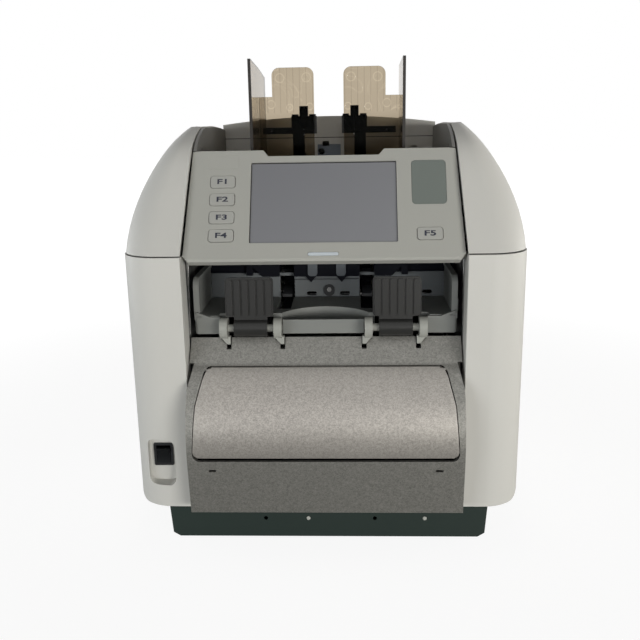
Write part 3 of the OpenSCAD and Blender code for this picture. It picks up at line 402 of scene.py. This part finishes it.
# Front cover: the moulding round the mouth of the reject pocket, clipped to the side frames and
# sprayed with a coarse silver paint that shows dark and light grains.
def metallic_paint(name, colour, rough, grain):
    """A silver paint: metal flakes, slow clouds and a fine ripple that is also felt as a bump."""
    flake_scale, cloud_scale, ripple_scale = 1400.0, 9.0, 420.0
    cloud_part, ripple_part, rough_swing, ripple_deep = 0.10, 0.9 * grain, 0.14, 0.04
    paint = Finish(name, Specular_IOR_Level=0.5)
    here = paint.place()
    flake = paint.flakes(here, flake_scale)
    cloud = paint.noise(here, cloud_scale, 2.0)
    ripple = paint.noise(here, ripple_scale, 2.0)
    level = 0.5 + grain * (flake - 0.5) + cloud_part * (cloud - 0.5) + ripple_part * (ripple - 0.5)
    paint.feed(Base_Color=paint.shades(level, colour), Metallic=0.4 + 0.3 * flake)
    paint.feed(Roughness=rough + rough_swing * (flake - 0.5))
    paint.feed(Normal=paint.bump(ripple, 0.5, ripple_deep))
    return paint


silver_paint = metallic_paint("silver_paint", srgb(133, 132, 127), rough=0.46, grain=0.5)
softened("front_cover", silver_paint, edge=0.7, angle=30)

# Reject pocket: a black moulded bin behind a curved silver door, which is sprayed like the front
# cover and hangs from pins at its top edge. The door's top corners stand back a little, so that
# they pass the mouth of the cover when it swings.
softened("reject_bin", black_moulding, edge=0.4)
door_paint = metallic_paint("door_paint", srgb(162, 158, 152), rough=0.42, grain=0.34)
door = softened("reject_door", door_paint, edge=0.7, angle=30)
corner_in, corner_low, corner_back = 87.8, 143.0, 0.5
for side in (-1.0, 1.0):
    bpy.ops.object.mode_set(mode="EDIT")
    chosen(door, "VERT", lambda at, way: at.x * side > corner_in and at.z > corner_low)
    bpy.ops.transform.translate(value=(-side * corner_back * mm, 0.0, 0.0))
    bpy.ops.object.mode_set(mode="OBJECT")

# Stacker: a grey moulded tray with a scooped front, a slotted back plate with a screw in a black
# boss, and a black beam with grey tabs over them, all screwed between the side frames.
tray_grey = mottled("tray_grey", srgb(128, 130, 127))
softened("stacker_tray", tray_grey, edge=0.5)
# The back plate is the tray's plastic made darker and bluer: painted shade of the bay it stands
# in.
back_grey = mottled("back_grey", srgb(104, 108, 110), shine=0.3)
# The beam's black is a darker, bluer copy of the black moulding: painted deep shade of the bay.
jet_moulding = mottled("jet_moulding", srgb(10, 12, 20), shine=0.12, spread=0.05, speckle=0.05,
                       rough=0.6)
tab_grey = mottled("tab_grey", srgb(92, 97, 102))
boss_from, screw_from, tab_from = -60.1, -61.5, -62.3


def picked(piece, finish, choose):
    """Gives the faces that choose names, by middle in mm and direction, a finish of their own."""
    piece.data.materials.append(finish.material)
    for face in piece.data.polygons:
        if choose(face.center / mm, face.normal):
            face.material_index = len(piece.data.materials) - 1


plate = softened("stacker_back", back_grey, edge=0.4)
picked(plate, black_moulding, lambda at, way: screw_from < at.y < boss_from)
picked(plate, ground_steel, lambda at, way: at.y < screw_from)
beam = softened("stacker_beam", jet_moulding, edge=0.4)
picked(beam, tab_grey, lambda at, way: at.y < tab_from)

# Paddle lugs: pale nylon ears, moulded with hooked feet that snap into the front cover, and the
# axles of the same plastic that they hold for the stop paddles.
lug_nylon = mottled("lug_nylon", srgb(158, 159, 153), shine=0.4, rough=0.42)
softened("hinge_lugs", lug_nylon, edge=0.4)
softened("paddle_axles", lug_nylon, edge=0.25)

# Stop paddles: two ribbed flaps of smoked plastic, moulded with eyes for their axles. They stand
# up in front of the stacked notes and fold towards the user against a spring.
smoked_flap = mottled("smoked_flap", srgb(46, 46, 45), shine=0.3, spread=0.03, rough=0.32,
                      grain=0.01)
for flap in ("paddle_left", "paddle_right"):
    softened(flap, smoked_flap, edge=0.4)

# Stacker wheels: moulded black wheels with curved vanes, pressed on the shaft. Their vanes catch
# each note and lay it down in the tray.
softened("stacker_wheels", black_moulding, edge=0.15)

# Transport train: ribbed rubber rollers that turn in the side frames, the main motor with its
# pulley, the feed motor and the supply in metal cases, and plain rubber belts beside the frame.
roller_rubber = mottled("roller_rubber", srgb(52, 50, 48), shine=0.5, spread=0.05, speckle=0.06,
                        rough=0.7, grain=0.04, size=0.6)
for roller in ("transport_roller_a", "transport_roller_b", "pickup_roller", "feed_roller"):
    softened(roller, roller_rubber, edge=0.3)
belt_rubber = mottled("belt_rubber", srgb(26, 26, 27), shine=0.5, spread=0.04, speckle=0.05,
                      rough=0.75, grain=0.03, size=0.5)
for loop in ("drive_belt", "transport_belt", "stacker_belt", "feed_belt"):
    softened(loop, belt_rubber)
motor_case = mottled("motor_case", srgb(120, 121, 122), shine=0.5, metal=0.6, spread=0.04,
                     speckle=0.04, rough=0.42, size=0.9)
for casing in ("drive_motor", "motor_pulley", "feed_motor", "power_supply"):
    softened(casing, motor_case, edge=0.4)

# Main board: a green laminate of glass fibre with printed tracks and soldered parts, which
# stands on posts at the side of the left frame.
solder_mask = Finish("solder_mask", Roughness=0.35)
tracks = solder_mask.add("TexBrick", 1, {"offset": 0.37}, Vector=solder_mask.place(), Scale=260.0,
                         Mortar_Size=0.06)
solder_mask.feed(Base_Color=solder_mask.blend(tracks, srgb(22, 84, 48), srgb(46, 116, 66)))
softened("main_board", solder_mask, edge=0.15)

# Fan: a square black moulded frame with a bladed rotor, screwed behind the rear vents. A round
# pad of foam lies over its intake.
for piece, edge in (("fan_frame", 0.4), ("fan_rotor", 0.15)):
    softened(piece, black_moulding, edge=edge)
low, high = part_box("fan_frame")
pad_before = 1.2
pad_place = ((low[0] + high[0]) / 2 / mm, low[1] / mm - pad_before, (low[2] + high[2]) / 2 / mm)
turned("fan_filter", pad_place, radius=28.0, depth=2.0, edge=0.6, finish=foam,
       slot="black_plastic")

# Sockets at the back: the mains inlet moulded in black plastic, and plated steel shells for the
# data leads, both held in cut-outs of the rear cover.
softened("power_inlet", black_moulding, edge=0.3)
softened("data_ports", zinc_plate, edge=0.2)

# Mains switch: a black rocker in a black frame, snapped into the scooped recess of the left
# cover. The marks for on and off are printed on the two halves of the rocker.
softened("switch_frame", black_moulding, edge=0.3)
rocker_black = mottled("rocker_black", srgb(18, 20, 22), shine=0.3, spread=0.04, speckle=0.04,
                       rough=0.4, grain=0.01, size=0.6)
softened("switch_rocker", rocker_black, edge=0.5)
mark_paint = mottled("mark_paint", srgb(150, 158, 158), shine=0.3, spread=0.03, speckle=0.05,
                     grain=0.01, size=0.4)
mark_size, facing_front, to_right = 4.2, 0.8, Vector((1.0, 0.0, 0.0))


def printed(name, words, node, size, finish, place, out, up, wide=1.0):
    """A thin printed mark on a node's face: place in metres, out of the face and up along it."""
    ink_thick, ink_spread, ink_lift = 0.03, 0.15, 0.02
    bpy.ops.object.select_all(action="DESELECT")
    bpy.ops.object.text_add()
    piece = bpy.context.active_object
    piece.name = name
    piece.data.body, piece.data.size = words, size * mm
    piece.data.extrude, piece.data.offset = ink_thick * mm, ink_spread * mm
    piece.data.align_x, piece.data.align_y = "CENTER", "CENTER"
    bpy.ops.object.convert(target="MESH")
    turn = Matrix((up.cross(out), up, out)).transposed().to_4x4()
    stretch = Matrix.Diagonal((wide, 1.0, 1.0, 1.0))
    piece.matrix_world = Matrix.Translation(place + out * ink_lift * mm) @ turn @ stretch
    bpy.ops.object.transform_apply(location=True, rotation=True, scale=True)
    placed(piece, finish, frame["nodes"][node]["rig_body"], slot_of(node))


for mark, words, lean in (("rocker_on", "I", -1.0), ("rocker_off", "O", 1.0)):
    faces = [face for face in frame["nodes"]["switch_rocker"].data.polygons
             if face.normal.y < -facing_front and face.normal.z * lean > 0.0]
    out = faces[0].normal.copy()
    area = sum(face.area for face in faces)
    place = sum((face.center * face.area for face in faces), Vector()) / area
    printed(mark, words, "switch_rocker", mark_size, mark_paint, place, out, out.cross(to_right))

# Upper covers: two swelling side mouldings of the same light grey plastic as the lower ones,
# drawn back in a soft crease towards the hopper, screwed to the hopper frame.
for cover in ("upper_cover_left", "upper_cover_right"):
    softened(cover, cover_skin, angle=36)

# Control panel: a tilted moulding in mid grey plastic with a fine texture and openings for the
# display and the keys, screwed to the front of the hopper frame.
panel_skin = mottled("panel_skin", srgb(171, 171, 165), spread=0.015, speckle=0.02)
softened("control_panel", panel_skin, edge=0.4, angle=30)

# Display: a glass-fronted module, switched off, with the key board behind it. Its blue-grey
# carries a painted sheen that runs lighter towards the bottom right, and a thin near-black line
# round the glass is painted shadow of the panel's window rim, widest at the top and left.
panel_tilt = radians(30)
slope_out = Vector((0.0, -cos(panel_tilt), sin(panel_tilt)))
slope_up = Vector((0.0, sin(panel_tilt), cos(panel_tilt)))
glass_top = max(v.co.dot(slope_up) for v in frame["nodes"]["display_module"].data.vertices)
window_down, window_tall, window_half = 2.6 * mm, 65.5 * mm, 55.0 * mm
window_top = glass_top - window_down
window_low = window_top - window_tall
rim_shadow_top, rim_shadow_left, rim_shadow_low, rim_shadow_right = 0.7 * mm, 0.7 * mm, 0.6 * mm, 0.35 * mm
window_middle = (window_top + window_low) / 2
gain_across, gain_down, painted_sheen_gain = 3.2, 5.0, 0.3
display_glass = Finish("display_glass", Roughness=0.22, Specular_IOR_Level=0.5)
here = display_glass.place()
# Painted sheen: the screen's grey grows lighter to the right and downwards, with slow cloudy
# patches, where a reflection would be.
painted_sheen_noise = display_glass.noise(here, 6.0, 2.0) - 0.5
across = display_glass.add("SeparateXYZ", Vector=here)
raised = display_glass.add("VectorMath", 1, {"operation": "DOT_PRODUCT"}, _0=here, _1=slope_up)
painted_light_sweep = 0.5 + gain_across * across - gain_down * (raised - window_middle) + painted_sheen_gain * painted_sheen_noise
screen_with_painted_sheen = display_glass.blend(painted_light_sweep, srgb(112, 113, 118), srgb(132, 133, 137))
# Painted shadow of the window's rim: a near-black line round the glass, widest at the top and
# left, narrowest at the right.
painted_rim_shadow = raised.above(window_top - rim_shadow_top) + across.below(rim_shadow_left - window_half)
painted_rim_shadow = painted_rim_shadow + raised.below(window_low + rim_shadow_low) + across.above(window_half - rim_shadow_right)
display_glass.feed(Base_Color=display_glass.blend(painted_rim_shadow, screen_with_painted_sheen, srgb(14, 14, 17)))
softened("display_module", display_glass, edge=0.2)

# Light: a small light pipe of frosted plastic, pushed from behind into a slot of the panel under
# the display. It is off.
frosted = mottled("frosted", srgb(196, 204, 210), shine=0.5, speckle=0.02, rough=0.4, grain=0.01,
                  size=0.6)
softened("light_lens", frosted, edge=0.2)

# Plain plate: a thin bare plate of grey-green plastic with a clear lacquer at the right of the
# display, glued flat in its recess.
plate_lacquer = mottled("plate_lacquer", srgb(107, 114, 109), shine=0.5, spread=0.03, rough=0.35,
                        grain=0.01, size=0.6)
softened("badge_window", plate_lacquer, edge=0.2)

# Keys: five moulded caps in the panel's plastic with printed legends, each on a spring dome of
# the key board, guided by its own hole in the panel.
key_cap = mottled("key_cap", srgb(170, 170, 165), spread=0.015, speckle=0.02, grain=0.01, size=0.6)
legend_ink = mottled("legend_ink", srgb(26, 29, 46), shine=0.5, spread=0.03, speckle=0.04,
                     rough=0.45, grain=0.01, size=0.4)
legend_size, legend_wide = 5.6, 1.7


def middle(spots, way):
    """The middle of the spots along one direction, as a step from the origin."""
    reach = [spot.dot(way) for spot in spots]
    return way * (min(reach) + max(reach)) / 2


for i in range(1, 6):
    key = f"key_f{i}"
    softened(key, key_cap, edge=0.35)
    spots = [v.co for v in frame["nodes"][key].data.vertices]
    top = slope_out * max(spot.dot(slope_out) for spot in spots)
    place = middle(spots, to_right) + middle(spots, slope_up) + top
    printed(f"legend_{i}", f"F{i}", key, legend_size, legend_ink, place, slope_out, slope_up,
            legend_wide)

# Hopper: the grey moulded frame that the notes lie in, with its cheeks and the bearings of the
# feed, and the light arched cover that is screwed on behind it. The cover has a dark seam across
# its front and a small blue-grey recess in the middle.
hopper_grey = mottled("hopper_grey", srgb(118, 117, 114))
softened("hopper_frame", hopper_grey, edge=0.6)
arch_grey = mottled("arch_grey", srgb(204, 203, 198))
arch = softened("top_cover", arch_grey, edge=0.2)
arch_front, arch_rear = [corner[1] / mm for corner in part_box("top_cover")]
seam_shade = mottled("seam_shade", srgb(52, 52, 52), shine=0.1, spread=0.03, rough=0.7, grain=0.01)
seam_low, seam_high, seam_deep = 312.6, 313.4, 0.7
picked(arch, seam_shade, lambda at, way: at.y < arch_front + seam_deep
       and seam_low < at.z < seam_high)
recess_blue = mottled("recess_blue", srgb(122, 130, 140))
recess_half, recess_low, recess_high = 11.3, 295.0, 307.0
recess_from, recess_to = arch_front + 0.3, arch_front + 2.0
picked(arch, recess_blue, lambda at, way: recess_from < at.y < recess_to
       and abs(at.x) < recess_half and recess_low < at.z < recess_high)

# Upper foam: a strip of the same foam, stuck inside the top cover behind its vents, and a block
# at each side that is pressed into the joint between the top cover and the upper covers.
vent_half, vent_low, vent_high = 48.0, 257.0, 295.0
foam_from, foam_to = arch_rear - 5.45, arch_rear - 2.95
foam_strip("vent_foam", "upper_unit", (-vent_half, foam_from, vent_low),
           (vent_half, foam_to, vent_high))
joint_in, joint_out, joint_low, joint_high = 100.2, 110.0, 238.5, 290.0
joint_from, joint_to = arch_rear - 20.0, arch_rear - 14.0
for strip, left, right in (("joint_foam_left", -joint_out, -joint_in),
                           ("joint_foam_right", joint_in, joint_out)):
    foam_strip(strip, "upper_unit", (left, joint_from, joint_low), (right, joint_to, joint_high))

# Note guides: two mouldings of smoked clear plastic with thin ribs, each snapped on a dark
# slider with a rack. A nylon pinion between the racks moves them together.
guide_middle = 2.0
rib_first, rib_half_pitch, rib_half = 13.9, 2.8, 0.25
ejector_marks = ((50.2, 343.1, 3.4), (34.0, 340.5, 2.7), (16.5, 341.0, 2.8), (42.2, 365.0, 3.7),
                 (19.2, 365.3, 3.7))
ring_half, foot_low, foot_high, blade_low = 0.6, 322.0, 338.0, 336.0
vein_at, vein_half, foot_dark = 0.56, 0.008, 0.42


def smoked(name, dark, light):
    """Clear brown plastic with its ribs, ejector rings, flow lines and a thicker, darker foot."""
    plastic = Finish(name, Specular_IOR_Level=0.5, Transmission_Weight=1.0, IOR=1.14)
    here = plastic.place()
    flow = plastic.noise(here, 22.0, 2.0)
    swirl = plastic.noise(here, 34.0, 1.0, Distortion=1.2)
    across = (plastic.add("SeparateXYZ", "X", Vector=here) - guide_middle * mm).unsigned()
    height = plastic.add("SeparateXYZ", "Z", Vector=here)
    flat = plastic.add("CombineXYZ", X=across, Z=height)
    upper = height.above(blade_low * mm)
    ribs = (across - rib_first * mm).zigzag(rib_half_pitch * mm).below(rib_half * mm) * upper
    rings = 0.0
    for x, z, radius in ejector_marks:
        centre = (x * mm, 0.0, z * mm)
        away = plastic.add("VectorMath", 1, {"operation": "DISTANCE"}, _0=flat, _1=centre)
        gap = (away - radius * mm).unsigned()
        rings = rings + (1.0 - gap / (ring_half * mm)).most(0.0)
    vein = (swirl - vein_at).unsigned().below(vein_half) * upper
    foot = plastic.ramp(height, foot_low * mm, foot_high * mm, foot_dark, 0.0)
    clear = 0.64 + 0.3 * (flow - 0.5) - 0.3 * ribs + 0.4 * rings + 0.3 * vein - foot
    plastic.feed(Base_Color=plastic.blend(clear, dark, light), Roughness=0.03 + 0.04 * flow)
    plastic.feed(Normal=plastic.bump(ribs * 0.5 + rings + 0.6 * flow, 0.5, 0.2))
    return plastic


smoked_clear = smoked("smoked_clear", (0.26, 0.215, 0.155, 1.0), (0.58, 0.49, 0.36, 1.0))
smoked_side = smoked("smoked_side", (0.15, 0.12, 0.085, 1.0), (0.38, 0.31, 0.215, 1.0))
smoked_edge = mottled("smoked_edge", srgb(40, 36, 33), shine=0.4, spread=0.04, speckle=0.04,
                      rough=0.3, grain=0.01, size=0.6)
side_from, edge_from = 58.0, 60.6
to_side, to_top, to_front = 0.8, 0.4, 0.55
for guide in ("guide_left", "guide_right"):
    blade = softened(guide, smoked_clear, edge=0.8, steps=3)
    picked(blade, smoked_side, lambda at, way: abs(way.x) > to_side
           and abs(at.x - guide_middle) > side_from)
    picked(blade, smoked_edge, lambda at, way: way.z > to_top
           or (abs(way.y) > to_front and abs(at.x - guide_middle) > edge_from))
slider_black = mottled("slider_black", srgb(30, 29, 28), shine=0.25, spread=0.04, speckle=0.04)
for slider in ("carriage_left", "carriage_right"):
    softened(slider, slider_black, edge=0.3)
softened("guide_pinion", pale_nylon, edge=0.15)

# Studio: a white floor that keeps a soft shadow, large soft lamps on all sides and a white
# surround. Lamps don't show through the clear plastic, and two of them not in mirrored light.
neutral, lamp_flat = (1.0, 1.0, 1.0), 0.3
lamps = (
    # name, place and height of its aim in metres, width, watts, colour, shows in mirrored light
    ("front_right", (1.3, -2.0, 0.26), 0.2, 1.5, 28.0, (1.0, 0.98, 0.93), True),
    ("front_left", (-1.5, -1.9, 0.26), 0.2, 1.5, 15.5, (0.96, 0.99, 1.0), True),
    ("front_mid", (0.0, -2.1, 0.62), 0.25, 1.2, 4.6, neutral, False),
    ("side_right", (2.0, 0.4, 0.26), 0.2, 1.5, 18.5, (1.0, 0.99, 0.95), True),
    ("side_left", (-2.0, 0.4, 0.26), 0.2, 1.5, 17.0, (0.97, 0.99, 1.0), True),
    ("rear", (0.3, 2.2, 0.3), 0.2, 1.5, 14.0, neutral, False),
)
for name, place, aim, wide, power, colour, mirrored in lamps:
    lamp = bpy.data.lights.new(name, "AREA")
    lamp.shape, lamp.energy, lamp.color = "ELLIPSE", power, colour
    lamp.size, lamp.size_y = wide, lamp_flat * wide
    holder = bpy.data.objects.new(name, lamp)
    bpy.context.scene.collection.objects.link(holder)
    holder.location = place
    towards = Vector((0.0, 0.0, aim)) - Vector(place)
    holder.rotation_euler = towards.to_track_quat("-Z", "Y").to_euler()
    holder.visible_transmission, holder.visible_glossy = False, mirrored


def kinds_of_ray(tree, *kinds):
    """One level for each kind of ray, which is 1 on a ray of that kind."""
    path = tree.nodes.new("ShaderNodeLightPath")
    return [Level(tree, path.outputs[f"Is {kind} Ray"]) for kind in kinds]


floor_wide, floor_glow = 12.0, 1.1
bpy.ops.object.select_all(action="DESELECT")
bpy.ops.mesh.primitive_plane_add(size=floor_wide, location=(0.0, 0.0, 0.0))
floor = bpy.context.active_object
floor.name = "floor"
white = Finish("white_floor", Roughness=0.9, Specular_IOR_Level=0.0)
seen, through, soft = kinds_of_ray(white.tree, "Camera", "Transmission", "Diffuse")
direct = seen.most(through)
floor_grey, floor_white = (0.35, 0.35, 0.35, 1.0), (0.9, 0.9, 0.9, 1.0)
white.feed(Base_Color=white.blend(direct + 0.5 * soft, floor_grey, floor_white))
shine = white.tree.nodes.new("ShaderNodeEmission")
shine.inputs["Strength"].default_value = floor_glow
both = white.tree.nodes.new("ShaderNodeMixShader")
reach = white.add("VectorMath", 1, {"operation": "LENGTH"}, _0=white.place())
shadow_end, white_from, shadow_part = 0.3, 1.3, 0.82
fade = white.ramp(reach, shadow_end, white_from, shadow_part, 1.0)
white.tree.links.new((direct * fade).out, both.inputs[0])
white.tree.links.new(white.shader.outputs[0], both.inputs[1])
white.tree.links.new(shine.outputs[0], both.inputs[2])
white.tree.links.new(both.outputs[0], white.tree.nodes["Material Output"].inputs["Surface"])
floor.data.materials.append(white.material)

world = bpy.data.worlds.new("studio")
bpy.context.scene.world = world
world.use_nodes = True
sky = world.node_tree.nodes["Background"]
seen, through, mirrored = kinds_of_ray(world.node_tree, "Camera", "Transmission", "Glossy")
dim = 0.04
bright = dim + (1.0 - dim) * seen.most(through).most(mirrored)
world.node_tree.links.new(bright.out, sky.inputs["Strength"])
sky.inputs["Color"].default_value = (*neutral, 1.0)

# Camera: a 45 mm lens on a 36 mm frame, a little above the machine and looking down on it. Its
# place is in metres and its angles are in radians.
camera = bpy.data.cameras.new("camera")
camera.sensor_width, camera.lens = 36.0, 45.0
camera.clip_start, camera.clip_end = 0.02, 50.0
eye_place = Vector((0.021206, -0.718242, 0.334384))
yaw, pitch, roll = 0.0420, 0.2518, -0.0177
ahead = Vector((-sin(yaw) * cos(pitch), cos(yaw) * cos(pitch), -sin(pitch)))
level_right = Vector((cos(yaw), sin(yaw), 0.0))
level_up = level_right.cross(ahead)
right = cos(roll) * level_right + sin(roll) * level_up
up = cos(roll) * level_up - sin(roll) * level_right
eye = bpy.data.objects.new("camera", camera)
bpy.context.scene.collection.objects.link(eye)
turn = Matrix((right, up, -ahead)).transposed().to_4x4()
eye.matrix_world = Matrix.Translation(eye_place) @ turn
bpy.context.scene.camera = eye
bpy.context.scene.view_settings.view_transform = "Standard"
